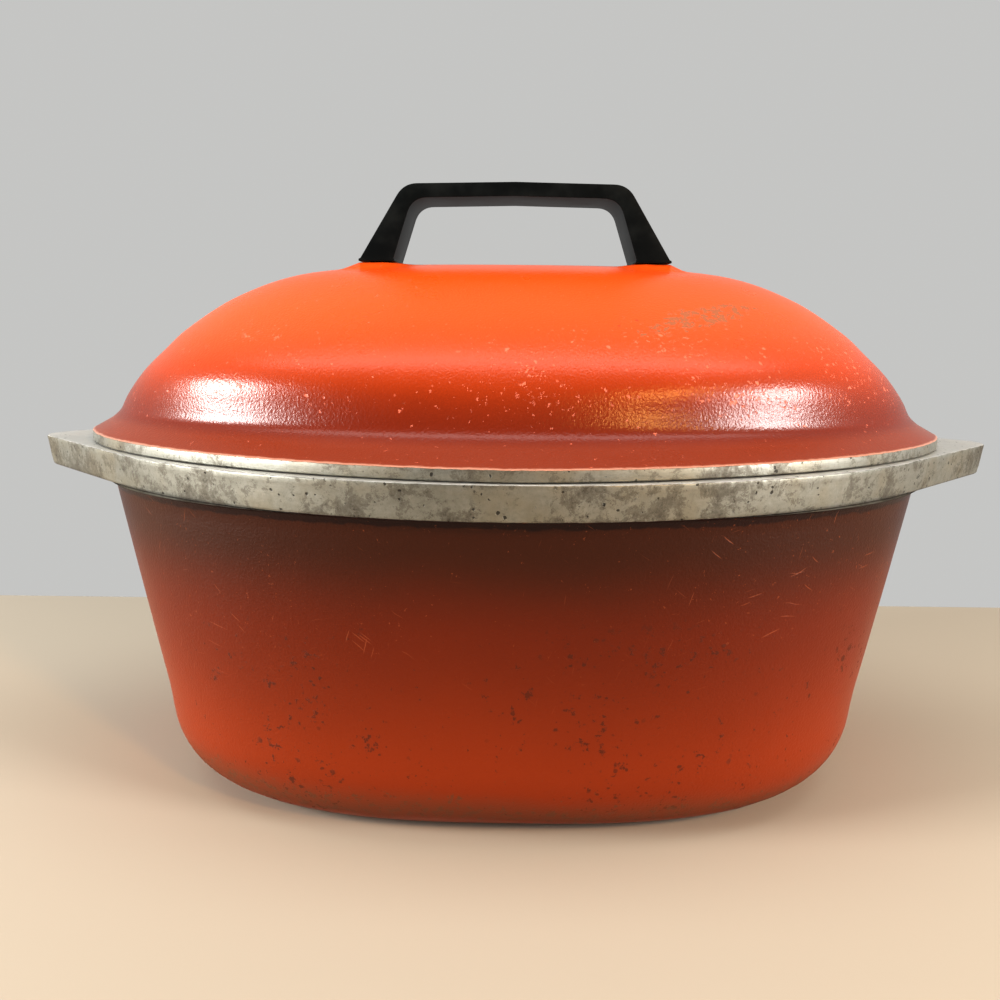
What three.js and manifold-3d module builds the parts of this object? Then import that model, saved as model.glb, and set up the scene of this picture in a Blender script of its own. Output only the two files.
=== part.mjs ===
// An oval covered roaster in cast aluminium: a deep enamelled pot whose rim
// widens into two lifting tabs, a domed lid that drops into its mouth, and a
// moulded grip held to the lid by two screws from inside.
// Millimetres, +Z up. The pot stands on Z = 0, centred on the origin, with its
// long axis and both tabs along X.

import * as THREE from 'three';
import { mergeVertices } from 'three/addons/utils/BufferGeometryUtils.js';
import Module from 'manifold-3d';

// ---------------------------------------------------------------- dimensions

// Rim flange, a lens in plan whose two points are the lifting tabs
const LENGTH = 370;
const WIDTH = 236;
const RIM_TOP = 124;
const RIM_THICKNESS = 11.5;
const RIM_SIDE_RADIUS = 185;
const RIM_TIP_RADIUS = 12;
const RIM_DRAFT = 1.6;

// Pot, outer half-axes of its oval sections and the squareness of each oval
const MOUTH = { a: 154, b: 112, n: 2.05 };
const BASE = { a: 132, b: 97, n: 2.45 };
const BASE_ROUND = 26;
const POT_WALL = 4.5;
const POT_FLOOR = 5;
const FLOOR_ROUND = 21;

// Lid
const SEAT_GAP = 0.3;
const LID_RIM = { a: 164, b: 116.5, n: 1.72 };
const LID_RIM_THICKNESS = 3.9;
const LID_WALL = 3;
const LID_TOP = 190.4;
const LIP_CLEARANCE = 1.2;
const LIP_THICKNESS = 3;
const LIP_DEPTH = 6;

// Grip: a flat strap on two splayed legs
const GRIP_WIDTH = 32;
const GRIP_TOP = 219.8;
const GRIP_BAR = 5;
const GRIP_CROWN = 0.8;
const GRIP_FOOT_OUTER = 58;
const GRIP_FOOT_INNER = 44.7;
const GRIP_TOP_OUTER = 41;
const GRIP_TOP_INNER = 38;
const GRIP_OUTER_ROUND = 8.5;
const GRIP_INNER_ROUND = 6;
const PAD_HEIGHT = 0.5;
const PAD_INSET = 0.8;

// Fasteners
const SCREW_X = 49.5;
const SHANK_RADIUS = 1.8;
const HEAD_RADIUS = 3.9;
const HEAD_HEIGHT = 2.4;
const HEAD_CROWN = 1.3;
const HEAD_FLAT_RADIUS = 2.3;
const SHANK_END_GAP = 1;
const SLOT_WIDTH = 1;
const SLOT_DEPTH = 1.1;
const WASHER_RADIUS = 5;
const WASHER_THICKNESS = 0.8;
const INSERT_RADIUS = 2.8;
const INSERT_LENGTH = 7;
const BOSS_RADIUS = 6.5;
const BOSS_FACE = 185.6;
const FIT_GAP = 0.3;

// Facets
const OVAL_STEPS = 64;
const ROUND_STEPS = 24;
const FILLET_STEPS = 5;
const OVERCUT = 4;

// -------------------------------------------------------------------- solids

const wasm = await Module();
wasm.setup();

function toSolid(geometry) {
  const bare = geometry.index ? geometry.toNonIndexed() : geometry.clone();
  bare.deleteAttribute('normal');
  bare.deleteAttribute('uv');
  const merged = mergeVertices(bare, 1e-4);
  const triangles = [];
  for (let i = 0; i < merged.index.count; i += 3) {
    const corners = [0, 1, 2].map((k) => merged.index.getX(i + k));
    if (new Set(corners).size === 3) triangles.push(...corners);
  }
  return new wasm.Manifold(new wasm.Mesh({
    numProp: 3,
    vertProperties: new Float32Array(merged.attributes.position.array),
    triVerts: new Uint32Array(triangles),
  }));
}

function toGeometry(solid) {
  const { vertProperties, triVerts } = solid.getMesh();
  const geometry = new THREE.BufferGeometry();
  geometry.setAttribute('position', new THREE.BufferAttribute(vertProperties, 3));
  geometry.setIndex(new THREE.BufferAttribute(triVerts, 1));
  geometry.computeVertexNormals();
  return geometry;
}

// A lathe turns about Y; this stands its axis up along Z.
function lathe(points, steps) {
  return new THREE.LatheGeometry(points, steps).rotateX(Math.PI / 2);
}

// One ring of an oval body: half-length a, half-width b, squareness n, height z.
// A ring with a = 0 is the pole that closes the body.
function ring(oval, z, inset = 0) {
  return { a: oval.a - inset, b: oval.b - inset, n: oval.n, z };
}

function pole(z) {
  return { a: 0, b: 0, n: 2, z };
}

function mixOval(from, to, t) {
  return {
    a: THREE.MathUtils.lerp(from.a, to.a, t),
    b: THREE.MathUtils.lerp(from.b, to.b, t),
    n: THREE.MathUtils.lerp(from.n, to.n, t),
  };
}

// Turns the rings as a lathe, then draws each circle out to its own oval.
function ovalBody(rings) {
  const profile = rings.map(({ a, z }) => new THREE.Vector2(a, z));
  const geometry = lathe(profile, OVAL_STEPS);
  const position = geometry.attributes.position;
  for (let i = 0; i < position.count; i += 1) {
    const { a, b, n, z } = rings[i % rings.length];
    const angle = (Math.floor(i / rings.length) % OVAL_STEPS) * 2 * Math.PI / OVAL_STEPS;
    const x = a * Math.sign(Math.cos(angle)) * Math.abs(Math.cos(angle)) ** (2 / n);
    const y = b * Math.sign(Math.sin(angle)) * Math.abs(Math.sin(angle)) ** (2 / n);
    position.setXYZ(i, x, y, z);
  }
  return toSolid(geometry);
}

// A quarter round between a flat face at height z and the wall above it.
function filletRings(oval, z, radius, inset) {
  const rings = [];
  for (let k = 0; k <= FILLET_STEPS; k += 1) {
    const turn = (k / FILLET_STEPS) * Math.PI / 2;
    const height = z + radius * (1 - Math.cos(turn));
    rings.push(ring(oval, height, inset + radius * (1 - Math.sin(turn))));
  }
  return rings;
}

function cylinder(radius, low, high, x) {
  return toSolid(new THREE.CylinderGeometry(radius, radius, high - low, ROUND_STEPS)
    .rotateX(Math.PI / 2)
    .translate(x, 0, (low + high) / 2));
}

function box(width, depth, low, high, x) {
  return toSolid(new THREE.BoxGeometry(width, depth, high - low)
    .translate(x, 0, (low + high) / 2));
}

// --------------------------------------------------------------------- pot

// Plan of the rim: two shallow arcs, straight shoulders and rounded tips.
function rimOutline() {
  const tipX = LENGTH / 2 - RIM_TIP_RADIUS;
  const sideY = RIM_SIDE_RADIUS - WIDTH / 2;
  const reach = Math.hypot(tipX, sideY);
  const lean = Math.atan2(tipX, sideY);
  const turn = lean - Math.acos((RIM_SIDE_RADIUS - RIM_TIP_RADIUS) / reach);
  const shape = new THREE.Shape();
  shape.absarc(0, sideY, RIM_SIDE_RADIUS, -Math.PI / 2 - turn, -Math.PI / 2 + turn, false);
  shape.absarc(tipX, 0, RIM_TIP_RADIUS, -Math.PI / 2 + turn, Math.PI / 2 - turn, false);
  shape.absarc(0, -sideY, RIM_SIDE_RADIUS, Math.PI / 2 - turn, Math.PI / 2 + turn, false);
  shape.absarc(-tipX, 0, RIM_TIP_RADIUS, Math.PI / 2 + turn, 3 * Math.PI / 2 - turn, false);
  return shape;
}

// The rim's edge leans in towards its underside.
function rimSolid() {
  const geometry = new THREE.ExtrudeGeometry(rimOutline(), {
    depth: RIM_THICKNESS,
    bevelEnabled: false,
    curveSegments: 16,
  });
  const position = geometry.attributes.position;
  for (let i = 0; i < position.count; i += 1) {
    const x = position.getX(i);
    const y = position.getY(i);
    const drop = 1 - position.getZ(i) / RIM_THICKNESS;
    const keep = 1 - drop * RIM_DRAFT / Math.hypot(x, y);
    position.setX(i, x * keep);
    position.setY(i, y * keep);
  }
  return toSolid(geometry.translate(0, 0, RIM_TOP - RIM_THICKNESS));
}

function potSolid() {
  const rimMiddle = RIM_TOP - RIM_THICKNESS / 2;
  const outside = ovalBody([
    pole(0),
    ...filletRings(BASE, 0, BASE_ROUND, 0),
    ring(mixOval(BASE, MOUTH, 0.5), (BASE_ROUND + rimMiddle) / 2),
    ring(MOUTH, rimMiddle),
    pole(rimMiddle),
  ]);
  const cavity = ovalBody([
    pole(POT_FLOOR),
    ...filletRings(BASE, POT_FLOOR, FLOOR_ROUND, POT_WALL),
    ring(mixOval(BASE, MOUTH, 0.5), (BASE_ROUND + rimMiddle) / 2, POT_WALL),
    ring(MOUTH, rimMiddle, POT_WALL),
    ring(MOUTH, RIM_TOP + OVERCUT, POT_WALL),
    pole(RIM_TOP + OVERCUT),
  ]);
  return outside.add(rimSolid()).subtract(cavity);
}

// --------------------------------------------------------------------- lid

const SEAT = RIM_TOP + SEAT_GAP;

// The dome from its foot on the lid's sloping flange up to its level top:
// half-length, half-width and height at each turn of the curve. It is a slightly
// pointed oval at the foot and a squarer one from the shoulder up.
const DOME = [
  [156, 102.5, 132.2],
  [152.5, 97, 135.5],
  [148.6, 93.5, 141.5],
  [141, 89.8, 150],
  [132.5, 83.5, 158],
  [123.5, 72, 166.5],
  [106, 52, 178],
  [82, 34, 186.5],
  [48, 16, LID_TOP - 0.2],
];
const DOME_SHOULDER = 4;
const DOME_FOOT_SQUARE = 1.85;
const DOME_SHOULDER_SQUARE = 2.3;
const DOME_STEPS = 14;

// The hollow's rings are these, brought in by the wall and lowered towards the
// top, and never longer than the lip's bore, so that the casting has no undercut.
function domeRings(wall, longest) {
  const curve = new THREE.CatmullRomCurve3(DOME.map((p) => new THREE.Vector3(...p)));
  const foot = DOME[0][2];
  const shoulder = DOME[DOME_SHOULDER][2];
  return curve.getPoints(DOME_STEPS).map((p) => {
    const rise = THREE.MathUtils.smoothstep(p.z, foot, shoulder);
    const n = THREE.MathUtils.lerp(DOME_FOOT_SQUARE, DOME_SHOULDER_SQUARE, rise);
    const drop = wall * THREE.MathUtils.smoothstep(p.z, foot, LID_TOP);
    return { a: Math.min(p.x - wall, longest), b: p.y - wall, n, z: p.z - drop };
  });
}

function lidShell() {
  const lipOuter = ring(MOUTH, 0, POT_WALL + LIP_CLEARANCE);
  const lipFoot = SEAT - LIP_DEPTH;
  const outside = ovalBody([
    pole(lipFoot),
    ring(lipOuter, lipFoot),
    ring(lipOuter, SEAT),
    ring(LID_RIM, SEAT),
    ring(LID_RIM, SEAT + LID_RIM_THICKNESS),
    ...domeRings(0, LID_RIM.a),
    pole(LID_TOP),
  ]);
  const hollow = ovalBody([
    pole(lipFoot - OVERCUT),
    ring(lipOuter, lipFoot - OVERCUT, LIP_THICKNESS),
    ring(lipOuter, SEAT + LID_RIM_THICKNESS, LIP_THICKNESS),
    ...domeRings(LID_WALL, lipOuter.a - LIP_THICKNESS).slice(1),
    pole(LID_TOP - LID_WALL),
  ]);
  return outside.subtract(hollow);
}

function lidSolid() {
  const padLength = GRIP_FOOT_OUTER - GRIP_FOOT_INNER - PAD_INSET;
  const padX = (GRIP_FOOT_OUTER + GRIP_FOOT_INNER) / 2;
  let lid = lidShell();
  for (const side of [-1, 1]) {
    const pad = box(padLength, GRIP_WIDTH - PAD_INSET, LID_TOP - LID_WALL, LID_TOP + PAD_HEIGHT, side * padX);
    const boss = cylinder(BOSS_RADIUS, BOSS_FACE, LID_TOP - LID_WALL / 2, side * SCREW_X);
    const hole = cylinder(SHANK_RADIUS + FIT_GAP, BOSS_FACE - OVERCUT, LID_TOP + OVERCUT, side * SCREW_X);
    lid = lid.add(pad).add(boss).subtract(hole);
  }
  return lid;
}

// -------------------------------------------------------------------- grip

const GRIP_FOOT = LID_TOP + PAD_HEIGHT + FIT_GAP;

// Rounds one corner of an outline with a curve through its tangent points.
function roundCorner(shape, before, corner, after, radius) {
  const into = corner.clone().sub(before).normalize();
  const out = after.clone().sub(corner).normalize();
  const reach = radius * Math.tan(Math.acos(into.dot(out)) / 2);
  const start = corner.clone().addScaledVector(into, -reach);
  const end = corner.clone().addScaledVector(out, reach);
  shape.lineTo(start.x, start.y);
  shape.quadraticCurveTo(corner.x, corner.y, end.x, end.y);
}

function gripSolid() {
  const point = (x, z) => new THREE.Vector2(x, z);
  const shoulder = GRIP_TOP - GRIP_CROWN;
  const footOut = point(GRIP_FOOT_OUTER, GRIP_FOOT);
  const topOut = point(GRIP_TOP_OUTER, shoulder);
  const footIn = point(GRIP_FOOT_INNER, GRIP_FOOT);
  const topIn = point(GRIP_TOP_INNER, shoulder - GRIP_BAR);
  const mirrored = (p) => point(-p.x, p.y);
  const crown = point(0, GRIP_TOP);
  const belly = point(0, GRIP_TOP - GRIP_BAR);

  const shape = new THREE.Shape();
  shape.moveTo(footIn.x, footIn.y);
  shape.lineTo(footOut.x, footOut.y);
  roundCorner(shape, footOut, topOut, crown, GRIP_OUTER_ROUND);
  shape.lineTo(crown.x, crown.y);
  roundCorner(shape, crown, mirrored(topOut), mirrored(footOut), GRIP_OUTER_ROUND);
  shape.lineTo(-footOut.x, footOut.y);
  shape.lineTo(-footIn.x, footIn.y);
  roundCorner(shape, mirrored(footIn), mirrored(topIn), belly, GRIP_INNER_ROUND);
  shape.lineTo(belly.x, belly.y);
  roundCorner(shape, belly, topIn, footIn, GRIP_INNER_ROUND);

  const strap = new THREE.ExtrudeGeometry(shape, {
    depth: GRIP_WIDTH,
    bevelEnabled: false,
    curveSegments: 8,
  }).rotateX(Math.PI / 2).translate(0, GRIP_WIDTH / 2, 0);

  const socketTop = GRIP_FOOT + INSERT_LENGTH + 2 * FIT_GAP;
  let grip = toSolid(strap);
  for (const side of [-1, 1]) {
    const socket = cylinder(INSERT_RADIUS + FIT_GAP, GRIP_FOOT - OVERCUT, socketTop, side * SCREW_X);
    grip = grip.subtract(socket);
  }
  return grip;
}

// --------------------------------------------------------------- fasteners

const INSERT_FOOT = GRIP_FOOT + FIT_GAP;
const INSERT_TOP = INSERT_FOOT + INSERT_LENGTH;
const WASHER_TOP = BOSS_FACE - FIT_GAP;
const HEAD_TOP = WASHER_TOP - WASHER_THICKNESS - FIT_GAP;

// A plain ring: the profile closes on itself round a straight bore.
function ringGeometry(bore, radius, low, high) {
  return lathe([
    new THREE.Vector2(bore, low),
    new THREE.Vector2(radius, low),
    new THREE.Vector2(radius, high),
    new THREE.Vector2(bore, high),
    new THREE.Vector2(bore, low),
  ], ROUND_STEPS);
}

function insertGeometry() {
  return toGeometry(toSolid(ringGeometry(SHANK_RADIUS + FIT_GAP, INSERT_RADIUS, INSERT_FOOT, INSERT_TOP)));
}

function washerGeometry() {
  const low = WASHER_TOP - WASHER_THICKNESS;
  return toGeometry(toSolid(ringGeometry(SHANK_RADIUS + FIT_GAP, WASHER_RADIUS, low, WASHER_TOP)));
}

// A slotted pan head with a plain shank, head down inside the lid.
function screwGeometry() {
  const low = HEAD_TOP - HEAD_HEIGHT;
  const edge = low + HEAD_CROWN;
  const shankTop = INSERT_TOP - SHANK_END_GAP;
  const body = toSolid(lathe([
    new THREE.Vector2(0, low),
    new THREE.Vector2(HEAD_FLAT_RADIUS, low),
    new THREE.Vector2((HEAD_FLAT_RADIUS + 2 * HEAD_RADIUS) / 3, low + HEAD_CROWN / 3),
    new THREE.Vector2(HEAD_RADIUS, edge),
    new THREE.Vector2(HEAD_RADIUS, HEAD_TOP),
    new THREE.Vector2(SHANK_RADIUS, HEAD_TOP),
    new THREE.Vector2(SHANK_RADIUS, shankTop),
    new THREE.Vector2(0, shankTop),
  ], ROUND_STEPS));
  const slot = box(3 * HEAD_RADIUS, SLOT_WIDTH, low - OVERCUT, low + SLOT_DEPTH, 0);
  return toGeometry(body.subtract(slot));
}

// ---------------------------------------------------------------- assembly

function material(color, roughness, metalness) {
  return new THREE.MeshStandardMaterial({ color, roughness, metalness });
}

const FINISH = {
  potEnamel: material(0xb8431a, 0.35, 0),
  lidEnamel: material(0xe2561f, 0.25, 0),
  handleBlack: material(0x141414, 0.45, 0),
  brass: material(0xb08d4a, 0.35, 1),
  steel: material(0xb9bab8, 0.35, 1),
};

function part(name, geometry, finish) {
  const mesh = new THREE.Mesh(geometry, finish.clone());
  mesh.name = name;
  return mesh;
}

const group = new THREE.Group();
group.add(part('pot_body', toGeometry(potSolid()), FINISH.potEnamel));

const lidGroup = new THREE.Group();
lidGroup.add(part('lid', toGeometry(lidSolid()), FINISH.lidEnamel));
lidGroup.add(part('lid_handle', toGeometry(gripSolid()), FINISH.handleBlack));
for (const [side, x] of [['left', -SCREW_X], ['right', SCREW_X]]) {
  const fixing = new THREE.Group();
  fixing.add(part(`handle_insert_${side}`, insertGeometry(), FINISH.brass));
  fixing.add(part(`handle_screw_${side}`, screwGeometry(), FINISH.steel));
  fixing.add(part(`screw_washer_${side}`, washerGeometry(), FINISH.steel));
  fixing.position.x = x;
  lidGroup.add(fixing);
}
group.add(lidGroup);

export default group;
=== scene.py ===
import math

import bmesh
import bpy
from mathutils import Matrix, Vector


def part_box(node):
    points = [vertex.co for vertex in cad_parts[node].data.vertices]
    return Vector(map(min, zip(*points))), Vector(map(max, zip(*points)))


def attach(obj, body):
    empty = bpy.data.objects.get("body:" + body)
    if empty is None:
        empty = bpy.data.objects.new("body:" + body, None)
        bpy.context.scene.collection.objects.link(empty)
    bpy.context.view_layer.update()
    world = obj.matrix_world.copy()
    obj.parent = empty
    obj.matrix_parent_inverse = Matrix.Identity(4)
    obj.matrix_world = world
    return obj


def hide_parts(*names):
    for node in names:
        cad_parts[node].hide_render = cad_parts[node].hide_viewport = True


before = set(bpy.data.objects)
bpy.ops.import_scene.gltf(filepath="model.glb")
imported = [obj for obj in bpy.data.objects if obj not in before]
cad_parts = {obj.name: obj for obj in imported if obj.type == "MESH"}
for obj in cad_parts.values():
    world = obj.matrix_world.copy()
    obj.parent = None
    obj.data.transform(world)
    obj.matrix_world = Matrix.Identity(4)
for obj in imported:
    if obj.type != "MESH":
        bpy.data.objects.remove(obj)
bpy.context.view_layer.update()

MM = 0.001

# ------------------------------------------------------------ driving sizes

POT_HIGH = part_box("pot_body")[1]
LID_LOW, LID_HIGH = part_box("lid")
GRIP_LOW, GRIP_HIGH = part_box("lid_handle")

RIM_HALF_LENGTH = POT_HIGH.x
RIM_HALF_WIDTH = POT_HIGH.y
RIM_TOP = POT_HIGH.z
RIM_THICKNESS = 11.5 * MM
RIM_UNDER = RIM_TOP - RIM_THICKNESS
RIM_MIDDLE = RIM_TOP - RIM_THICKNESS / 2
RIM_SIDE_RADIUS = 185 * MM
RIM_TIP_RADIUS = 12 * MM
RIM_DRAFT = 1.6 * MM
RIM_FILLET = 2.4 * MM

POT_WALL = 4.5 * MM
POT_FLOOR = 5 * MM
BASE_ROUND = 26 * MM
FLOOR_ROUND = 21 * MM
WALL_BLEND = 13 * MM

SEAT = RIM_TOP + 0.3 * MM
LID_RIM_TOP = SEAT + 3.9 * MM
LID_WALL = 3 * MM
LID_TOP = 190.4 * MM
PAD_TOP = LID_HIGH.z
LIP_LOW = LID_LOW.z
LIP_THICKNESS = 3 * MM

SCREW_X = 49.5 * MM
BOSS_FACE = 185.6 * MM
BOSS_RADIUS = 6.5 * MM
SCREW_HOLE = 2.1 * MM
INSERT_HOLE = 3.1 * MM
INSERT_DEPTH = 7.6 * MM
# How far a cutting tool runs past what it cuts
PAST = 4 * MM

# Vertices round each ring of the pot and lid, crowded towards the pointed tabs
SIDES = 192
TIP_CROWDING = 0.72


# ------------------------------------------------------------ working steps

def only(*objects):
    """Selects these objects and no others, in object mode."""
    if bpy.context.object and bpy.context.object.mode != "OBJECT":
        bpy.ops.object.mode_set(mode="OBJECT")
    bpy.ops.object.select_all(action="DESELECT")
    for piece in objects:
        piece.select_set(True)
    if objects:
        bpy.context.view_layer.objects.active = objects[0]


def named(name):
    """The object that an operator has just made, given its name."""
    piece = bpy.context.object
    piece.name = name
    piece.data.name = name
    return piece


def edit(piece):
    """Opens a piece for editing with nothing selected."""
    only(piece)
    bpy.ops.object.mode_set(mode="EDIT")
    bpy.ops.mesh.select_all(action="DESELECT")
    return bmesh.from_edit_mesh(piece.data)


def done():
    bpy.ops.object.mode_set(mode="OBJECT")


def settle(piece):
    """Puts a piece's place into its mesh, so that its object sits at the origin."""
    only(piece)
    bpy.ops.object.transform_apply(location=True, rotation=True, scale=True)


def modify(piece, kind, **settings):
    """Adds one modifier and applies it."""
    only(piece)
    modifier = piece.modifiers.new(kind.title(), kind)
    for key, value in settings.items():
        setattr(modifier, key, value)
    bpy.ops.object.modifier_apply(modifier=modifier.name)


def cut(piece, tool):
    """Cuts a tool's shape out of a piece and throws the tool away."""
    modify(piece, "BOOLEAN", operation="DIFFERENCE", solver="EXACT", object=tool)
    bpy.data.objects.remove(tool)
    edit(piece)
    bpy.ops.mesh.select_all(action="SELECT")
    bpy.ops.mesh.remove_doubles(threshold=0.01 * MM)
    done()


def rod(radius, low, high, x, sides=48):
    """An upright round bar, standing at x on the long axis, its corners clear of the axis."""
    only()
    place, turned = (x, 0, (low + high) / 2), (0, 0, math.pi / sides)
    bpy.ops.mesh.primitive_cylinder_add(
        vertices=sides, radius=radius, depth=high - low, location=place, rotation=turned
    )
    piece = named("rod")
    settle(piece)
    return piece


def smooth(piece, degrees=35):
    only(piece)
    bpy.ops.object.shade_smooth_by_angle(angle=math.radians(degrees))


def face_out(piece):
    edit(piece)
    bpy.ops.mesh.select_all(action="SELECT")
    bpy.ops.mesh.remove_doubles(threshold=1e-6)
    bpy.ops.mesh.normals_make_consistent(inside=False)
    done()


def lerp(low, high, t):
    return low + (high - low) * t


def ease(t, low=0.0, high=1.0):
    """A smooth step from 0 at low to 1 at high."""
    t = min(max((t - low) / (high - low), 0.0), 1.0)
    return t * t * (3 - 2 * t)


def quarter(steps):
    """Angles from 0 to a right angle, both ends included."""
    return [math.pi / 2 * k / steps for k in range(steps + 1)]


# ------------------------------------------------------------ plan outlines
# An outline is a function that gives the distance from the centre at an angle.

def oval(a, b, n):
    def outline(angle):
        x = abs(math.cos(angle)) / a
        y = abs(math.sin(angle)) / b
        return (x ** n + y ** n) ** (-1 / n)
    return outline


def rim_outline(shrink=0.0):
    """Two shallow side arcs, joined to two rounded tips by straight tangents."""
    tip_x = RIM_HALF_LENGTH - RIM_TIP_RADIUS
    side_y = RIM_SIDE_RADIUS - RIM_HALF_WIDTH
    side = RIM_SIDE_RADIUS - shrink
    tip = RIM_TIP_RADIUS - shrink
    turn = math.atan2(tip_x, side_y) - math.acos((side - tip) / math.hypot(tip_x, side_y))
    side_end = math.atan2(side * math.cos(turn) - side_y, side * math.sin(turn))
    tip_end = math.atan2(tip * math.cos(turn), tip_x + tip * math.sin(turn))
    straight = side - side_y * math.cos(turn)

    def outline(angle):
        c, s = abs(math.cos(angle)), abs(math.sin(angle))
        bearing = math.atan2(s, c)
        if bearing >= side_end:
            return math.sqrt(side ** 2 - (side_y * c) ** 2) - side_y * s
        if bearing >= tip_end:
            return straight / (c * math.sin(turn) + s * math.cos(turn))
        return math.sqrt(tip ** 2 - (tip_x * s) ** 2) + tip_x * c
    return outline


def inset(outline, distance):
    return lambda angle: outline(angle) - distance


def between(first, second, t):
    return lambda angle: lerp(first(angle), second(angle), t)


def scaled(outline, factor):
    return lambda angle: outline(angle) * factor


BASE = oval(132 * MM, 97 * MM, 2.45)
MOUTH = oval(154 * MM, 112 * MM, 2.05)
BORE = inset(MOUTH, POT_WALL)
LID_RIM = oval(164 * MM, 116.5 * MM, 1.72)
LIP_OUTER = inset(BORE, 1.2 * MM)
LIP_INNER = inset(LIP_OUTER, LIP_THICKNESS)


# ------------------------------------------------------- shells ring by ring

def place_ring(piece, outline, z):
    """Draws the selected ring of vertices out to an outline at a height."""
    mesh = bmesh.from_edit_mesh(piece.data)
    for vertex in mesh.verts:
        if vertex.select:
            angle = math.atan2(vertex.co.y, vertex.co.x)
            reach = outline(angle)
            vertex.co = (reach * math.cos(angle), reach * math.sin(angle), z)


def ring_shell(name, rings):
    """Extrudes one ring of edges after another, drawing each out to its outline
    and height, and closes both ends at a pole."""
    only()
    bpy.ops.mesh.primitive_circle_add(vertices=SIDES, radius=1)
    piece = named(name)
    for vertex in piece.data.vertices:
        even = math.atan2(vertex.co.y, vertex.co.x)
        angle = even - TIP_CROWDING * math.sin(2 * even) / 2
        vertex.co = (math.cos(angle), math.sin(angle), 0)
    edit(piece)
    bpy.ops.mesh.select_all(action="SELECT")
    place_ring(piece, *rings[0])
    bpy.ops.mesh.extrude_edges_indiv()
    bpy.ops.mesh.merge(type="CENTER")
    mesh = bmesh.from_edit_mesh(piece.data)
    bpy.ops.mesh.select_all(action="DESELECT")
    for edge in mesh.edges:
        if edge.is_boundary:
            edge.select_set(True)
    for outline, z in rings[1:]:
        bpy.ops.mesh.extrude_edges_indiv()
        place_ring(piece, outline, z)
    bpy.ops.mesh.extrude_edges_indiv()
    bpy.ops.mesh.merge(type="CENTER")
    done()
    face_out(piece)
    return piece


def mark_inside(piece):
    """Marks the skin that faces the middle of the vessel, for its finish."""
    middle = Vector((0, 0, RIM_MIDDLE))
    mark = piece.data.attributes.new("inside", "FLOAT", "POINT")
    for vertex, value in zip(piece.data.vertices, mark.data):
        value.value = 1.0 if vertex.normal.dot(vertex.co - middle) < 0 else 0.0


# -------------------------------------------------------------------- pot

def wall(z):
    """The pot's outer wall, which starts to lean out before the base's round ends."""
    rise = z - BASE_ROUND
    if abs(rise) < WALL_BLEND:
        rise = (rise + WALL_BLEND) ** 2 / (4 * WALL_BLEND)
    t = min(max(rise / (RIM_MIDDLE - BASE_ROUND), 0.0), 1.0)
    return oval(lerp(132, 154, t) * MM, lerp(97, 112, t) * MM, lerp(2.45, 2.05, t))


def base_rings():
    for turn in quarter(12):
        z = BASE_ROUND * (1 - math.cos(turn))
        yield inset(wall(z), BASE_ROUND * (1 - math.sin(turn))), z


def wall_rings():
    """Up the outside and out, through a small fillet, to the rim's underside."""
    steps = 20
    for k in range(1, steps + 1):
        z = lerp(BASE_ROUND, RIM_UNDER - RIM_FILLET, k / steps)
        yield wall(z), z
    for turn in quarter(5)[1:]:
        z = RIM_UNDER - RIM_FILLET * (1 - math.sin(turn))
        yield inset(wall(RIM_UNDER), -RIM_FILLET * (1 - math.cos(turn))), z


def rim_rings():
    """Round the rim: underside, lower arris, leaning edge, upper arris, top."""
    low, high, mouth = 1.1 * MM, 0.6 * MM, 0.9 * MM
    under, top = rim_outline(RIM_DRAFT), rim_outline()
    for t in (0.3, 0.6, 0.85):
        yield between(inset(wall(RIM_UNDER), -RIM_FILLET), inset(under, low), t), RIM_UNDER
    for turn in quarter(4):
        yield inset(under, low * (1 - math.sin(turn))), RIM_UNDER + low * (1 - math.cos(turn))
    for t in (0.3, 0.55, 0.8):
        yield rim_outline(RIM_DRAFT * (1 - t)), lerp(RIM_UNDER, RIM_TOP, t)
    for turn in quarter(4):
        yield inset(top, high * (1 - math.cos(turn))), RIM_TOP - high * (1 - math.sin(turn))
    for t in (0.25, 0.5, 0.75):
        yield between(inset(top, high), inset(BORE, -mouth), t), RIM_TOP
    for turn in quarter(4):
        yield inset(BORE, -mouth * (1 - math.sin(turn))), RIM_TOP - mouth * (1 - math.cos(turn))


def cavity_rings():
    """Down the inside and round into the floor."""
    floor = POT_FLOOR + FLOOR_ROUND
    yield BORE, RIM_MIDDLE
    for k in range(1, 12):
        z = lerp(RIM_MIDDLE, floor, k / 11)
        yield inset(wall(z), POT_WALL), z
    for turn in quarter(10)[1:]:
        z = floor - FLOOR_ROUND * math.sin(turn)
        yield inset(wall(z), POT_WALL + FLOOR_ROUND * (1 - math.cos(turn))), z
    for t in (0.7, 0.35):
        yield scaled(inset(BASE, POT_WALL + FLOOR_ROUND), t), POT_FLOOR


def make_pot():
    flat = [(scaled(inset(BASE, BASE_ROUND), t), 0.0) for t in (0.35, 0.7)]
    rings = [*flat, *base_rings(), *wall_rings(), *rim_rings(), *cavity_rings()]
    pot = ring_shell("enamelled_pot", rings)
    mark_inside(pot)
    smooth(pot, 40)
    return pot


# -------------------------------------------------------------------- lid

# Half-length, half-width and height at each turn of the dome's curve, in mm
DOME = [
    (156, 102.5, 132.2),
    (152.5, 97, 135.5),
    (148.6, 93.5, 141.5),
    (141, 89.8, 150),
    (132.5, 83.5, 158),
    (123.5, 72, 166.5),
    (106, 52, 178),
    (82, 34, 186.5),
    (48, 16, 190.2),
]
DOME_FOOT = DOME[0][2] * MM
DOME_SHOULDER = 158 * MM


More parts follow.
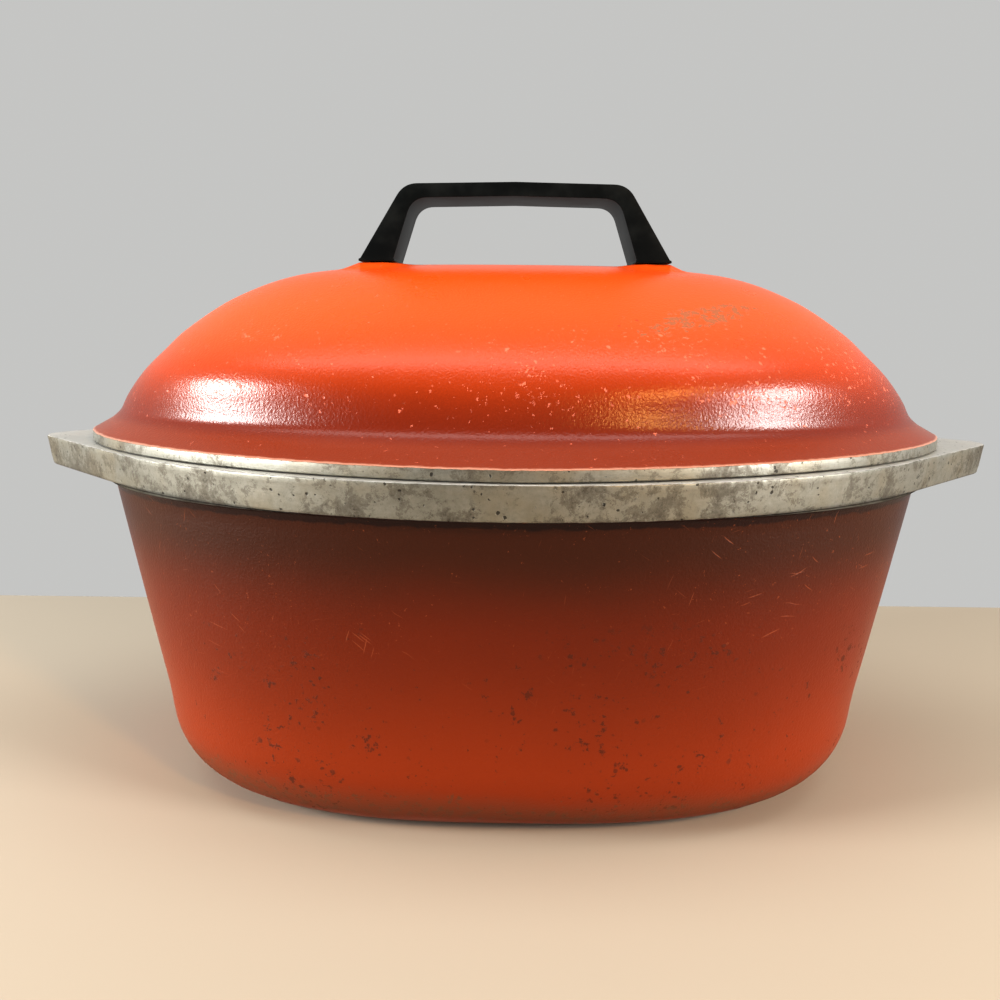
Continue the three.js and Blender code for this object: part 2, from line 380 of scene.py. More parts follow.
def through(points, t):
    """A smooth curve through points, t from 0 at the first to 1 at the last."""
    spot = t * (len(points) - 1)
    i = min(int(spot), len(points) - 2)
    u = spot - i
    near = [points[i] for i in (max(i - 1, 0), i, i + 1, min(i + 2, len(points) - 1))]
    p0, p1, p2, p3 = [Vector(p) for p in near]
    linear = (p2 - p0) * u
    square = (p0 * 2 - p1 * 5 + p2 * 4 - p3) * u ** 2
    cube = (p1 * 3 - p0 - p2 * 3 + p3) * u ** 3
    return (p1 * 2 + linear + square + cube) / 2


def dome(t, skin=0.0, longest=1.0):
    a, b, z = through(DOME, t) * MM
    n = lerp(1.85, 2.3, ease(z, DOME_FOOT, DOME_SHOULDER))
    return oval(min(a - skin, longest), b - skin, n), z - skin * ease(z, DOME_FOOT, LID_TOP)


def crown_rings(top, ring):
    """From near the pole out to the dome's highest ring, slightly crowned."""
    outline, edge = ring
    steps = 30
    parts = [k / steps for k in range(1, steps)]
    return [(scaled(outline, t), lerp(top, edge, t ** 2)) for t in parts]


def lid_edge_rings():
    """Off the dome's foot, over the thin rim, under it and round the lip."""
    fillet, corner, lip = 0.5 * MM, 0.6 * MM, 0.8 * MM
    foot = dome(0)
    for t in (0.2, 0.4, 0.6, 0.8, 0.93):
        yield between(foot[0], inset(LID_RIM, fillet), t), lerp(foot[1], LID_RIM_TOP, t)
    for turn in quarter(3):
        yield inset(LID_RIM, fillet * (1 - math.sin(turn))), LID_RIM_TOP - fillet * (1 - math.cos(turn))
    yield LID_RIM, (SEAT + LID_RIM_TOP) / 2
    for turn in quarter(3):
        yield inset(LID_RIM, corner * (1 - math.cos(turn))), SEAT + corner * (1 - math.sin(turn))
    for t in (0.4, 0.8):
        yield between(LID_RIM, LIP_OUTER, t), SEAT
    yield LIP_OUTER, SEAT
    for turn in quarter(3):
        yield inset(LIP_OUTER, lip * (1 - math.cos(turn))), LIP_LOW + lip * (1 - math.sin(turn))
    for turn in quarter(3):
        yield inset(LIP_INNER, -lip * (1 - math.sin(turn))), LIP_LOW + lip * (1 - math.cos(turn))
    yield LIP_INNER, SEAT


PAD_INNER, PAD_OUTER, PAD_SIDE = 45.6 * MM, 57 * MM, 14.8 * MM
PAD_SKIRT_INNER, PAD_SKIRT_OUTER, PAD_SKIRT_SIDE = 9 * MM, 4 * MM, 4.5 * MM
PAD_FROM = 183 * MM
BOSS_FROM = 180 * MM
BOSS_SKIRT = 2 * MM


def pad_weight(x, y):
    """1 under a foot of the grip, fading to 0 on the dome around its cast pad."""
    across = max(abs(y) - PAD_SIDE, 0) / PAD_SKIRT_SIDE
    outer = max(abs(x) - PAD_OUTER, 0) / PAD_SKIRT_OUTER
    inner = max(PAD_INNER - abs(x), 0) / PAD_SKIRT_INNER
    return 1 - ease(math.hypot(across, outer + inner))


def raise_pads(lid):
    """Lifts the outer skin to the level pads, and drops two screw bosses inside."""
    facing_up = [vertex.normal.z > 0 for vertex in lid.data.vertices]
    for vertex, up in zip(lid.data.vertices, facing_up):
        p = vertex.co
        if p.z > PAD_FROM and up:
            p.z = lerp(p.z, PAD_TOP, pad_weight(p.x, p.y))
        elif p.z > BOSS_FROM:
            boss = math.hypot(abs(p.x) - SCREW_X, p.y)
            p.z = lerp(p.z, BOSS_FACE, 1 - ease(boss, BOSS_RADIUS, BOSS_RADIUS + BOSS_SKIRT))


def make_lid():
    steps = 54
    bore = LIP_INNER(0)
    outside = [dome(1 - k / steps) for k in range(steps + 1)]
    hollow = [dome(k / steps, LID_WALL, bore) for k in range(3, steps + 1)]
    under_crown = crown_rings(LID_TOP - LID_WALL, hollow[-1])[::-1]
    rings = [*crown_rings(LID_TOP, outside[0]), *outside, *lid_edge_rings(), *hollow, *under_crown]
    lid = ring_shell("domed_lid", rings)
    raise_pads(lid)
    for side in (-1, 1):
        cut(lid, rod(SCREW_HOLE, BOSS_FACE - PAST, LID_TOP + PAST, side * SCREW_X))
    mark_inside(lid)
    smooth(lid, 40)
    return lid


# ------------------------------------------------------------------- grip

BAR_TOP = GRIP_HIGH.z
BAR_SHOULDER = BAR_TOP - 0.8 * MM
BAR_THICKNESS = 5 * MM
SHOULDER_OUTER = 41 * MM
SHOULDER_INNER = 38 * MM
LEG_OUTER = 57.3 * MM
LEG_INNER = 45 * MM
FOOT_INNER = 44.7 * MM
FOOT_LIP = 1.1 * MM
FOOT_SLOPE = 0.3 * MM


def corner_points(before, corner, after, radius, steps):
    """Points along the rounding of one corner of an outline."""
    into, out = (corner - before).normalized(), (after - corner).normalized()
    reach = radius * math.tan(into.angle(out) / 2)
    start, end = corner - into * reach, corner + out * reach
    for k in range(steps + 1):
        t = k / steps
        yield start * (1 - t) ** 2 + corner * 2 * t * (1 - t) + end * t ** 2


def strap_stations():
    """Outer and inner point of the strap's section, from its middle to one foot."""
    foot = GRIP_LOW.z + FOOT_LIP
    top_out = Vector((SHOULDER_OUTER, BAR_SHOULDER))
    top_in = Vector((SHOULDER_INNER, BAR_SHOULDER - BAR_THICKNESS))
    foot_out, foot_in = Vector((LEG_OUTER, foot)), Vector((LEG_INNER, foot))
    crown, belly = Vector((0, BAR_TOP)), Vector((0, BAR_TOP - BAR_THICKNESS))
    outer = list(corner_points(crown, top_out, foot_out, 9 * MM, 10))
    inner = list(corner_points(belly, top_in, foot_in, 8 * MM, 10))
    for t in (0.3, 0.6, 0.85):
        yield crown.lerp(outer[0], t), belly.lerp(inner[0], t)
    yield from zip(outer, inner)
    for t in (0.25, 0.5, 0.75, 1):
        yield outer[-1].lerp(foot_out, t), inner[-1].lerp(foot_in, t)


def make_grip():
    """Half the strap is drawn out from its middle to one foot, and mirrored."""
    half = GRIP_HIGH.y
    only()
    bpy.ops.mesh.primitive_plane_add(size=2)
    grip = named("strap_grip")
    outer, inner = Vector((0, BAR_TOP)), Vector((0, BAR_TOP - BAR_THICKNESS))
    for vertex in grip.data.vertices:
        spot = outer if vertex.co.x > 0 else inner
        vertex.co = (spot.x, half * vertex.co.y, spot.y)
    edit(grip)
    bpy.ops.mesh.select_all(action="SELECT")
    for next_outer, next_inner in strap_stations():
        bpy.ops.mesh.extrude_region_move()
        mesh = bmesh.from_edit_mesh(grip.data)
        for vertex in mesh.verts:
            if vertex.select:
                spot = Vector((vertex.co.x, vertex.co.z))
                to_outer, to_inner = (spot - outer).length, (spot - inner).length
                goal = next_outer if to_outer < to_inner else next_inner
                vertex.co.x, vertex.co.z = goal.x, goal.y
        outer, inner = next_outer, next_inner
    flare_foot(grip)
    bpy.ops.mesh.select_all(action="DESELECT")
    mesh = bmesh.from_edit_mesh(grip.data)
    for face in mesh.faces:
        face.select_set(all(abs(v.co.x) < 1e-7 for v in face.verts))
    bpy.ops.mesh.delete(type="FACE")
    done()
    modify(grip, "MIRROR", use_axis=(True, False, False), use_clip=True, merge_threshold=1e-6)
    face_out(grip)
    modify(grip, "BEVEL", width=0.9 * MM, segments=4, limit_method="ANGLE", angle_limit=math.radians(40))
    for side in (-1, 1):
        cut(grip, rod(INSERT_HOLE, GRIP_LOW.z - PAST, GRIP_LOW.z + INSERT_DEPTH, side * SCREW_X))
    smooth(grip, 35)
    return grip


def flare_foot(grip):
    """A thin plinth, a little wider than the leg, that the foot stands on."""
    bpy.ops.mesh.extrude_region_move(TRANSFORM_OT_translate={"value": (0, 0, -FOOT_SLOPE)})
    mesh = bmesh.from_edit_mesh(grip.data)
    for vertex in mesh.verts:
        if vertex.select:
            vertex.co.x = GRIP_HIGH.x if vertex.co.x > SCREW_X else FOOT_INNER
    bpy.ops.mesh.extrude_region_move(TRANSFORM_OT_translate={"value": (0, 0, FOOT_SLOPE - FOOT_LIP)})


# -------------------------------------------------------------- fasteners

FASTENER_SIDES = 64
SHANK_RADIUS = 1.8 * MM
HEAD_HEIGHT = 2.4 * MM
HEAD_ROUNDING = 1.25 * MM
POINT_HEIGHT = 0.6 * MM
SLOT_SIZE = (12 * MM, 1 * MM, 2.2 * MM)


def make_screw(side):
    """A slotted pan-head screw, head down inside the lid."""
    low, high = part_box(f"handle_screw_{side}")
    x = (low.x + high.x) / 2
    radius = (high.x - low.x) / 2
    head_top = low.z + HEAD_HEIGHT
    screw = rod(radius, low.z, head_top, x, FASTENER_SIDES)
    screw.name = screw.data.name = f"pan_head_screw_{side}"
    mesh = edit(screw)
    for edge in mesh.edges:
        edge.select_set(all(abs(v.co.z - low.z) < 1e-6 for v in edge.verts))
    bpy.ops.mesh.bevel(offset=HEAD_ROUNDING, segments=6, affect="EDGES")
    bpy.ops.mesh.select_all(action="DESELECT")
    mesh = bmesh.from_edit_mesh(screw.data)
    for face in mesh.faces:
        face.select_set(face.normal.z > 0.99)
    bpy.ops.mesh.inset(thickness=radius - SHANK_RADIUS)
    for rise in (high.z - head_top - POINT_HEIGHT, POINT_HEIGHT):
        bpy.ops.mesh.extrude_region_move(TRANSFORM_OT_translate={"value": (0, 0, rise)})
    bpy.ops.transform.resize(value=(0.7, 0.7, 1), center_override=(x, 0, high.z))
    done()
    only()
    bpy.ops.mesh.primitive_cube_add(size=1, location=(x, 0, low.z), scale=SLOT_SIZE)
    slot = named("slot")
    settle(slot)
    cut(screw, slot)
    smooth(screw, 30)
    return screw


def make_washer(side):
    """A stamped washer with its edges slightly rolled."""
    low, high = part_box(f"screw_washer_{side}")
    x = (low.x + high.x) / 2
    washer = rod((high.x - low.x) / 2, low.z, high.z, x, FASTENER_SIDES)
    washer.name = washer.data.name = f"plain_washer_{side}"
    cut(washer, rod(SCREW_HOLE, low.z - PAST, high.z + PAST, x, FASTENER_SIDES))
    modify(washer, "BEVEL", width=0.18 * MM, segments=3, limit_method="ANGLE", angle_limit=math.radians(50))
    smooth(washer, 35)
    return washer


# ---------------------------------------------------------------- finishes

class Field:
    """A number socket that takes part in Python sums."""

    def __init__(self, finish, socket):
        self.finish = finish
        self.socket = socket

    def sum(self, operation, *values):
        inputs = dict(enumerate(values))
        return self.finish.number("Math", {"operation": operation, "use_clamp": False}, inputs)

    def __add__(self, other):
        return self.sum("ADD", self, other)

    def __sub__(self, other):
        return self.sum("SUBTRACT", self, other)

    def __rsub__(self, other):
        return self.sum("SUBTRACT", other, self)

    def __mul__(self, other):
        return self.sum("MULTIPLY", self, other)

    def __truediv__(self, other):
        return self.sum("DIVIDE", self, other)

    def __abs__(self):
        return self.sum("ABSOLUTE", self)

    __radd__ = __add__
    __rmul__ = __mul__


class Finish:
    """One procedural material on Object coordinates."""

    def __init__(self, name):
        self.material = bpy.data.materials.new(name)
        self.material.use_nodes = True
        self.tree = self.material.node_tree
        self.shader = self.tree.nodes["Principled BSDF"]
        self.spot = self.node("TexCoord").outputs["Object"]
        axes = self.node("SeparateXYZ", {}, {"Vector": self.spot}).outputs
        self.x, self.y, self.z = [Field(self, axis) for axis in axes]

    def node(self, kind, settings=None, inputs=None):
        """Adds a node: its settings first, then its sockets' values or links."""
        node = self.tree.nodes.new("ShaderNode" + kind)
        for key, value in (settings or {}).items():
            setattr(node, key, value)
        for key, value in (inputs or {}).items():
            self.feed(node.inputs[key], value)
        return node

    def feed(self, socket, value):
        value = getattr(value, "socket", value)
        if isinstance(value, bpy.types.NodeSocket):
            self.tree.links.new(value, socket)
        elif isinstance(value, tuple) and len(value) == 3 and socket.type == "RGBA":
            socket.default_value = (*value, 1)
        else:
            socket.default_value = value

    def vector(self, operation, inputs):
        return self.node("VectorMath", {"operation": operation}, inputs).outputs[0]

    def number(self, kind, settings, inputs, output=0):
        return Field(self, self.node(kind, settings, inputs).outputs[output])

    def step(self, value, low, high):
        """A smooth step from 0 at low to 1 at high; high may be below low."""
        settings = {"interpolation_type": "SMOOTHSTEP", "clamp": True}
        if high < low:
            return 1 - self.step(value, high, low)
        return self.number("MapRange", settings, {"Value": value, "From Min": low, "From Max": high})

    def top(self, *values):
        result = values[0]
        for value in values[1:]:
            result = result.sum("MAXIMUM", result, value)
        return result

    def moved(self, turn=0.0, stretch=(1, 1, 1), offset=(0, 0, 0), at=None):
        """Coordinates turned about the depth axis, then stretched and shifted."""
        inputs = {"Vector": at or self.spot, "Rotation": (0, math.radians(turn), 0)}
        turned = self.node("Mapping", {}, inputs).outputs[0]
        inputs = {"Vector": turned, "Scale": stretch, "Location": offset}
        return self.node("Mapping", {}, inputs).outputs[0]

    def noise(self, scale, detail=2.0, rough=0.5, at=None):
        inputs = {"Vector": at or self.spot, "Scale": scale, "Detail": detail}
        inputs.update({"Roughness": rough, "Distortion": 0.0})
        return self.number("TexNoise", {}, inputs)

    def ragged(self, amount, scale):
        """Coordinates pushed about by noise, so that round spots turn irregular."""
        inputs = {"Vector": self.spot, "Scale": scale, "Detail": 3.0}
        colour = self.node("TexNoise", {}, inputs).outputs["Color"]
        centred = self.vector("SUBTRACT", {0: colour, 1: (0.5, 0.5, 0.5)})
        pushed = self.vector("SCALE", {0: centred, "Scale": amount})
        return self.vector("ADD", {0: self.spot, 1: pushed})

    def specks(self, scale, size, share, at=None, soft=0.25):
        """Scattered spots: cells per metre, size as a part of a cell, and the
        share of cells that hold a spot."""
        cells = self.node("TexVoronoi", {}, {"Vector": at or self.spot, "Scale": scale})
        chance = self.node("SeparateColor", {}, {"Color": cells.outputs["Color"]}).outputs
        radius = (Field(self, chance[1]) * 0.8 + 0.2) * size
        spot = self.step(radius - Field(self, cells.outputs["Distance"]), 0.0, size * soft)
        return spot * self.step(Field(self, chance[0]), share, share - 0.01)

    def scratches(self, turn, across, along, share, offset=0.0):
        """Fine wandering lines: lines per metre across and along, and how many."""
        bent = self.ragged(0.010, 28)
        at = self.moved(turn, (along, along, across), (offset, offset, offset), bent)
        return self.specks(1.0, 0.20, share, at, 0.5)

    def flakes(self, scale, threshold, spread=0.03, rough=0.72, offset=0.0):
        """Irregular grainy patches: where a busy noise passes a threshold."""
        at = self.moved(0, offset=(offset, offset, offset), at=self.ragged(0.0015, 500))
        busy = self.noise(scale, 4, rough, at)
        return self.step(busy - threshold, 0.0, spread)

    def mix(self, first, second, amount):
        """One colour laid over another; a Mix node's colour sockets are numbers 6 and 7."""
        inputs = {0: amount, 6: first, 7: second}
        return self.node("Mix", {"data_type": "RGBA"}, inputs).outputs[2]

    def inside(self):
        return self.number("Attribute", {"attribute_name": "inside"}, {}, "Fac")

    def bump(self, height, depth):
        """A bump that is as deep, in metres, as `depth` where the height is 1."""
        return self.node("Bump", {}, {"Height": height, "Distance": depth, "Strength": 1.0}).outputs[0]

    def surface(self, **values):
        """Sets or feeds the shader's sockets, named with underscores for spaces."""
        for key, value in values.items():
            self.feed(self.shader.inputs[key.replace("_", " ")], value)

    def dress(self, *objects):
        for piece in objects:
            if not piece.material_slots:
                piece.data.materials.append(self.material)
            for slot in piece.material_slots:
                slot.material = self.material


ORANGE = (0.84, 0.108, 0.008)
FLANGE_RED = (0.25, 0.038, 0.008)
# Maroon of the dome's foot, darkened for painted shade
SHADED_MAROON = (0.185, 0.022, 0.005)
LOW_ORANGE = (0.265, 0.034, 0.003)
MID_RED = (0.140, 0.017, 0.002)
RIM_BROWN = (0.050, 0.011, 0.003)
CHIP = (0.84, 0.24, 0.14)
SCORCH = (0.15, 0.060, 0.026)
BURNT = (0.070, 0.016, 0.006)
WORN = (0.34, 0.13, 0.05)
METAL_SHADE = (0.15, 0.145, 0.115)
METAL_PALE = (0.50, 0.50, 0.46)
METAL_TAN = (0.28, 0.235, 0.155)
METAL_STAIN = (0.085, 0.068, 0.048)
METAL_GRIME = (0.060, 0.052, 0.042)
# Pale metal for a painted highlight along the pot rim's top arris
METAL_HIGHLIGHT = (0.74, 0.73, 0.69)
METAL_PIT = (0.022, 0.018, 0.015)
DARK_FLECK = (0.30, 0.035, 0.010)
EDGE_LINE = (0.75, 0.42, 0.30)
# Painted shade under the pot rim's overhang, with some thick enamel
UNDER_RIM_SHADE_AND_BUILDUP = (0.016, 0.003, 0.002)
SCRATCH = (0.46, 0.13, 0.05)


def bare_metal(finish, top_highlight=0.0):
    """Dull cast aluminium: colour, roughness and height, with stains and pits."""
    cloud = finish.noise(24, 5, 0.6)
    tide = finish.noise(60, 8, 0.82, finish.ragged(0.008, 60))
    stain = finish.step(tide, 0.48, 0.60)
    edge = 1 - finish.step(abs(tide - 0.53), 0.003, 0.02)
    tan = finish.step(finish.noise(30, 4, 0.6, finish.moved(offset=(3, 1, 2))), 0.42, 0.64)
    streak = finish.noise(1, 4, 0.6, finish.moved(0, (60, 60, 700)))
    grain = finish.noise(1700, 2, 0.6)
    mottle = finish.noise(260, 6, 0.8)
    dust = finish.step(finish.noise(620, 5, 0.85), 0.50, 0.64)
    pits = finish.specks(430, 0.28, 0.42, finish.ragged(0.0014, 700))
    cracks = finish.flakes(240, 0.665, 0.02, 0.8, 6.0)
    tone = cloud * 0.6 + streak * 0.15 + mottle * 0.65 - 0.31
    colour = finish.mix(METAL_SHADE, METAL_PALE, tone)
    colour = finish.mix(colour, METAL_TAN, tan * 0.4)
    colour = finish.mix(colour, METAL_STAIN, stain * (mottle * 1.3 - 0.04) + edge * 0.22)
    colour = finish.mix(colour, METAL_GRIME, dust * (stain * 0.40 + 0.16))
    # Pale metal laid over where asked: a painted highlight
    colour = finish.mix(colour, METAL_HIGHLIGHT, top_highlight)
    dark = finish.top(pits * 0.8, cracks * finish.step(cloud, 0.40, 0.52) * 0.9)
    colour = finish.mix(colour, METAL_PIT, dark)
    rough = 0.44 + stain * 0.12 + grain * 0.12
    height = grain * 0.35 + streak * 0.3 - dark * 1.4
    return colour, rough, height


def enamel_over_metal(finish, enamel, bare, top_highlight, gloss, relief, shine):
    """Puts enamel on bare metal: where `bare` is 1 the casting shows."""
    metal, metal_rough, metal_height = bare_metal(finish, top_highlight)
    peel = finish.noise(1150, 2, 0.5)
    swell = finish.noise(120, 2, 0.5)
    height = (peel * 2.0 + swell * 1.4 + relief) * (1 - bare) + (metal_height - 1.6) * bare
    finish.surface(
        Base_Color=finish.mix(enamel, metal, bare),
        Roughness=gloss * (1 - bare) + metal_rough * bare,
        Metallic=bare * 0.85,
        Normal=finish.bump(height, 0.06 * MM),
        Specular_IOR_Level=shine,
    )


def lid_finish():
    finish = Finish("lid_enamel")
    x, y, z = finish.x, finish.y, finish.z
    drift = finish.noise(16, 3, 0.5) - 0.5
    # The dome's steep side is a darker maroon than the flat flange below it, and the maroon reaches high up
    # the side: painted shade where the side faces the dark room, over the enamel's real dark-to-orange
    # ombré
    enamel = finish.mix(FLANGE_RED, SHADED_MAROON, finish.step(z, 0.1315, 0.1350))
    enamel = finish.mix(enamel, ORANGE, finish.step(z + drift * 0.006, 0.136, 0.178))

    # Small chips, thick along the shoulder and thickest towards one end
    rough_spot = finish.ragged(0.0022, 420)
    cloud = finish.noise(30, 4, 0.6, finish.moved(offset=(5, 2, 7)))
    right = finish.step(x, -0.06, 0.09) * finish.step(x, 0.15, 0.11)
    belt = finish.step(z, 0.139, 0.147) * finish.step(z, 0.174, 0.162)
    wear = belt * finish.step(cloud + right * 0.16, 0.54, 0.66)
    chips = finish.top(
        finish.flakes(520, 0.66 - wear * 0.075),
        finish.specks(260, 0.26, 0.30, rough_spot) * finish.step(wear, 0.3, 0.6),
        finish.specks(520, 0.26, 0.34, rough_spot) * finish.top(wear, belt * 0.5),
        finish.specks(170, 0.14, 0.14, rough_spot) * finish.step(z, 0.131, 0.137),
    )
    enamel = finish.mix(enamel, CHIP, chips * 0.62)

    # A worn grey-brown streak and a scatter of dark specks on the crown
    crown = finish.step(z, 0.162, 0.170)
    along, away = x - 0.060, y + 0.058
    bend = away - along * 0.62 + (cloud - 0.5) * 0.02
    reach = abs(along) / 0.030
    streak = finish.step(reach * reach + abs(bend) / 0.009, 1.0, 0.35) * crown
    scuffs = finish.flakes(360, 0.60 - streak * 0.13, 0.02, 0.75, 3.0) * finish.step(streak, 0.05, 0.35)
    specks = finish.specks(300, 0.17, 0.16, rough_spot) * crown * (right * 0.85 + 0.15)
    enamel = finish.mix(enamel, WORN, scuffs * 0.85)
    enamel = finish.mix(enamel, DARK_FLECK, specks * 0.8)

    level = z + finish.noise(300, 3, 0.6) * 0.5 * MM
    bare = finish.top(finish.inside(), finish.step(level, LID_RIM_TOP + 0.05 * MM, LID_RIM_TOP - 0.15 * MM))
    line = finish.step(level, LID_RIM_TOP + 0.55 * MM, LID_RIM_TOP + 0.2 * MM)
    enamel = finish.mix(enamel, EDGE_LINE, line * 0.6)
    gloss = 0.25 + cloud * 0.06 + chips * 0.2 + scuffs * 0.3
    relief = chips * -0.6 - scuffs * 0.5
    enamel_over_metal(finish, enamel, bare, 0.0, gloss, relief, 0.5)
    return finish


def pot_finish():
    finish = Finish("pot_enamel")
    z = finish.z
    drift = finish.noise(14, 4, 0.55) - 0.5
    mottle = finish.noise(45, 4, 0.6)
    enamel = finish.mix(LOW_ORANGE, MID_RED, finish.step(z + drift * 0.02, 0.022, 0.082))
    enamel = finish.mix(enamel, RIM_BROWN, finish.step(z + drift * 0.010, 0.072, 0.104))

    # Burnt-on spots, in clusters over the lower half
    rough_spot = finish.ragged(0.0024, 380)
    cluster = finish.noise(24, 4, 0.65, finish.moved(offset=(2, 9, 4)))
    low = finish.step(z, 0.088, 0.066)
    busy = finish.step(cluster, 0.50, 0.62)
    burnt = finish.top(
        finish.flakes(330, 0.655 - busy * 0.075, 0.03, 0.72, 5.0),
        finish.specks(240, 0.30, 0.36, rough_spot) * busy,
        finish.specks(430, 0.28, 0.40, rough_spot) * finish.step(cluster, 0.47, 0.58),
        finish.specks(110, 0.13, 0.22, rough_spot),
    ) * low
    enamel = finish.mix(enamel, BURNT, burnt * (mottle * 0.5 + 0.45))

    # A scorched ring round the base, and a dark band just under the rim: painted shade under the rim's
    # overhang, with some thick enamel
    ring = finish.step(z + drift * 0.012, 0.0040, 0.0075) * finish.step(z + drift * 0.020, 0.021, 0.009)
    soot = finish.flakes(300, 0.66 - ring * 0.14, 0.03, 0.75, 8.0) * finish.step(z, 0.030, 0.018)
    enamel = finish.mix(enamel, SCORCH, finish.top(soot * 0.8, ring * 0.5))
    # Painted shade just under the rim's overhang, with some enamel built up there
    shade_and_buildup = finish.step(z + finish.noise(160, 3, 0.6) * 0.003, 0.1108, 0.1116)
    enamel = finish.mix(enamel, UNDER_RIM_SHADE_AND_BUILDUP, shade_and_buildup * 0.9)

    # Fine pale scratches, most of them over the upper half
    scuffed = finish.step(finish.noise(20, 3, 0.6, finish.moved(offset=(8, 3, 1))), 0.42, 0.60)
    scuffed = scuffed * (finish.step(z, 0.045, 0.080) * 0.75 + 0.25)
    lines = finish.top(
        finish.scratches(14, 900, 45, 0.45),
        finish.scratches(-38, 1000, 60, 0.40, 3.0),
        finish.scratches(72, 1000, 60, 0.32, 7.0),
        finish.scratches(-8, 800, 28, 0.30, 11.0),
    ) * scuffed
    nicks = finish.flakes(700, 0.675 - scuffed * 0.035, 0.03, 0.7, 2.0) * finish.step(z, 0.050, 0.075)
    enamel = finish.mix(enamel, SCRATCH, finish.top(lines * 0.38, nicks * 0.30))

    base = finish.step(z, 0.0012, 0.0004)
    level = z + finish.noise(300, 3, 0.6) * 0.5 * MM
    rim = finish.step(level, RIM_UNDER + 0.4 * MM, RIM_UNDER + 0.8 * MM)
    bare = finish.top(finish.inside(), rim, base * 0.7)
    # A painted highlight: the rim's top arris and top face turn pale metal
    top_highlight = finish.step(z + finish.noise(200, 3, 0.6) * 0.6 * MM, RIM_TOP, RIM_TOP + 0.25 * MM)
    gloss = 0.32 + mottle * 0.10 + burnt * 0.2 + ring * 0.25
    relief = burnt * 0.5 + soot * 0.4 - lines * 0.5
    enamel_over_metal(finish, enamel, bare, top_highlight * (1 - finish.inside()) * 0.8, gloss, relief, 0.25)
    return finish


def grip_finish():
    """Satin black phenolic with a faint moulded grain and an uneven haze."""
    finish = Finish("black_phenolic")
    grain = finish.noise(1400, 2, 0.6)
    haze = finish.noise(60, 4, 0.6)
    colour = finish.mix((0.004, 0.0055, 0.006), (0.012, 0.015, 0.015), finish.step(haze, 0.4, 0.7))
    finish.surface(
        Specular_IOR_Level=0.1,
        Base_Color=colour,
        Roughness=0.34 + haze * 0.16,
        Normal=finish.bump(grain, 0.012 * MM),
    )
    return finish


def turned_metal(name, dark, light, base_rough):
    """A lathe-turned metal part, with fine grain and a little dulling."""
    finish = Finish(name)
    grain = finish.noise(1, 3, 0.6, finish.moved(0, (300, 300, 2600)))
    dull = finish.noise(260, 3, 0.6)
    finish.surface(
        Base_Color=finish.mix(dark, light, grain * 0.6 + dull * 0.4),
        Roughness=base_rough + dull * 0.18,
        Metallic=1.0,
        Normal=finish.bump(grain, 0.01 * MM),
    )
    return finish


# ------------------------------------------------------------------- stage

FLOOR_FAR_EDGE = 0.200
FLOOR_NEAR_EDGE = -3
FLOOR_LENGTH = 6


def make_floor():
    """A plain pale table top that ends a little way behind the object."""
    only()
    bpy.ops.mesh.primitive_plane_add(size=1)
    floor = named("table_top")
    mesh = edit(floor)
    for vertex in mesh.verts:
        vertex.co.x *= FLOOR_LENGTH
        vertex.co.y = FLOOR_FAR_EDGE if vertex.co.y > 0 else FLOOR_NEAR_EDGE
    done()
    finish = Finish("pale_table")
    finish.surface(Base_Color=(0.47, 0.41, 0.325), Roughness=0.9)
    finish.dress(floor)


LIGHT_AIM = Vector((0, -0.03, 0.145))
LIGHT_DISTANCE = 1.2


def add_softbox(name, azimuth, elevation, size, power, colour=(1, 1, 1)):
    """A soft area light aimed at the lid, azimuth counted from the front to the right."""
    data = bpy.data.lights.new(name, "AREA")
    data.shape = "RECTANGLE"
    data.size, data.size_y = size
    data.energy = power
    data.color = colour
    lamp = bpy.data.objects.new(name, data)
    bpy.context.scene.collection.objects.link(lamp)
    turn, rise = math.radians(azimuth), math.radians(elevation)
    way = Vector((math.sin(turn) * math.cos(rise), -math.cos(turn) * math.cos(rise), math.sin(rise)))
    lamp.location = LIGHT_AIM + way * LIGHT_DISTANCE
    lamp.rotation_euler = way.to_track_quat("Z", "Y").to_euler()
    lamp.visible_camera = False


def make_lights():
    add_softbox("overhead", 0, 85, (2.0, 0.5), 8.5)
    add_softbox("window_left", -72, 11, (0.42, 0.46), 22)
    add_softbox("window_right", 62, 12, (0.36, 0.46), 16)
    add_softbox("warm_lamp", 33, 29, (0.1, 0.1), 4, (1, 0.55, 0.16))


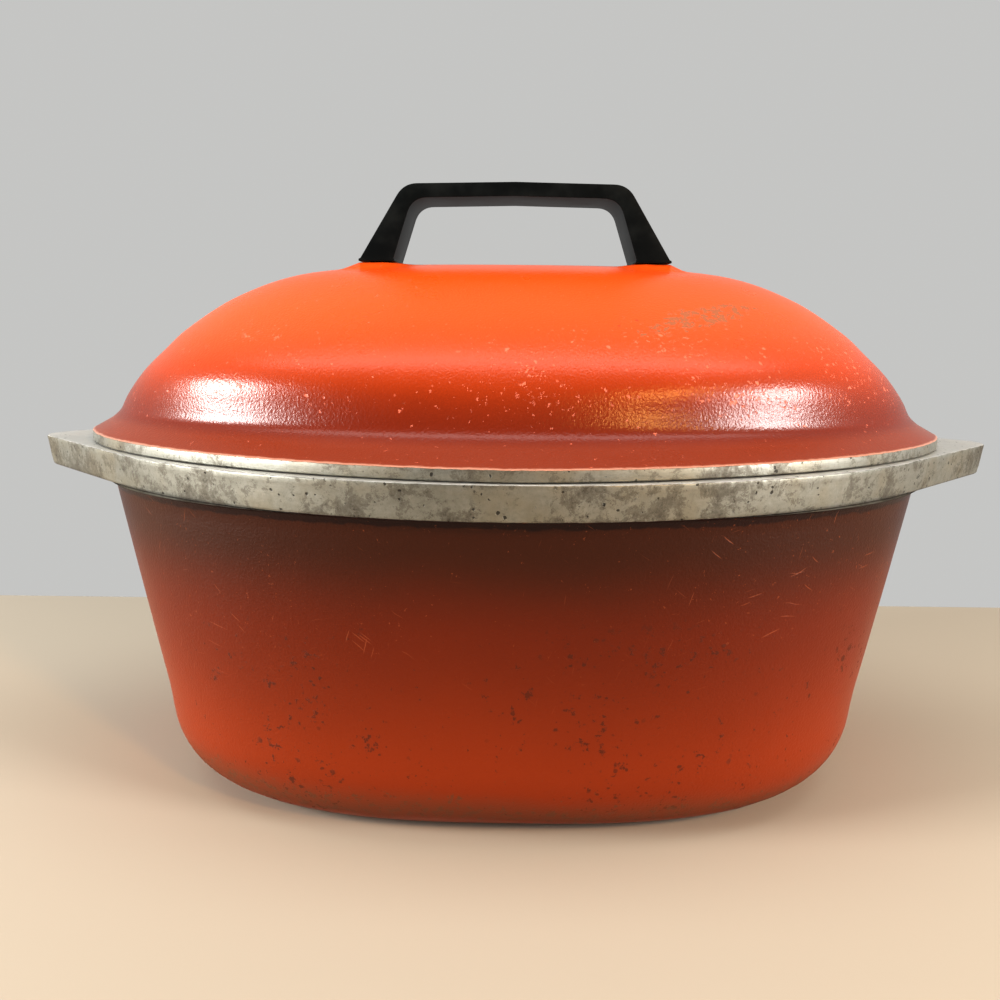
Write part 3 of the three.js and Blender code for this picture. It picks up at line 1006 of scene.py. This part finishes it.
def make_room():
    """A pale wall all round under a dimmer ceiling, and the dark of the room in front."""
    world = bpy.data.worlds.new("pale_room")
    bpy.context.scene.world = world
    world.use_nodes = True
    tree = world.node_tree
    direction = tree.nodes.new("ShaderNodeTexCoord").outputs["Generated"]
    axes = tree.nodes.new("ShaderNodeSeparateXYZ")
    tree.links.new(direction, axes.inputs[0])
    shade = []
    for axis, low, high, start, end in (("Z", 0.78, 0.92, 0.54, 0.30), ("Y", -0.60, -0.05, 0.05, 1.0)):
        ramp = tree.nodes.new("ShaderNodeMapRange")
        ramp.interpolation_type = "SMOOTHSTEP"
        for name, value in (("From Min", low), ("From Max", high), ("To Min", start), ("To Max", end)):
            ramp.inputs[name].default_value = value
        tree.links.new(axes.outputs[axis], ramp.inputs["Value"])
        shade.append(ramp.outputs[0])
    product = tree.nodes.new("ShaderNodeMath")
    product.operation = "MULTIPLY"
    for socket, value in zip(product.inputs, shade):
        tree.links.new(value, socket)
    background = tree.nodes["Background"]
    background.inputs["Color"].default_value = (1, 1, 0.985, 1)
    tree.links.new(product.outputs[0], background.inputs["Strength"])


def set_tone():
    """The display's tone: plain, with a little more contrast."""
    view = bpy.context.scene.view_settings
    view.view_transform = "Standard"
    view.exposure = 0.20
    view.gamma = 0.82


def make_camera():
    """In front of the pot and level with its lid, a touch to the left of centre."""
    turn, roll, pitch = 0.0135, 0.0088, math.radians(10.03)
    side, back, height = -0.0049, 0.3959, 0.1689
    data = bpy.data.cameras.new("camera")
    data.sensor_width = 36
    data.lens = 36
    camera = bpy.data.objects.new("camera", data)
    bpy.context.scene.collection.objects.link(camera)
    around = Matrix.Rotation(turn, 3, "Z")
    camera.location = around @ Vector((side, -back, height))
    tilt = Matrix.Rotation(math.pi / 2 - pitch, 3, "X") @ Matrix.Rotation(roll, 3, "Z")
    camera.rotation_euler = (around @ tilt).to_euler()
    bpy.context.scene.camera = camera


# ---------------------------------------------------------------- assembly

set_tone()
make_camera()
make_room()
make_lights()
make_floor()

pot = make_pot()
pot_finish().dress(pot)
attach(pot, "pot")
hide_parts("pot_body")

lid = make_lid()
lid_finish().dress(lid)
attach(lid, "lid")
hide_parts("lid")

grip = make_grip()
grip_finish().dress(grip)
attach(grip, "lid")
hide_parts("lid_handle")

plated = turned_metal("plated_steel", (0.34, 0.34, 0.33), (0.66, 0.66, 0.65), 0.24)
brass = turned_metal("turned_brass", (0.42, 0.27, 0.09), (0.70, 0.50, 0.22), 0.26)
for side in ("left", "right"):
    screw, washer = make_screw(side), make_washer(side)
    plated.dress(screw, washer)
    brass.dress(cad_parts[f"handle_insert_{side}"])
    for piece, node in ((screw, f"handle_screw_{side}"), (washer, f"screw_washer_{side}")):
        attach(piece, "lid")
        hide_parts(node)
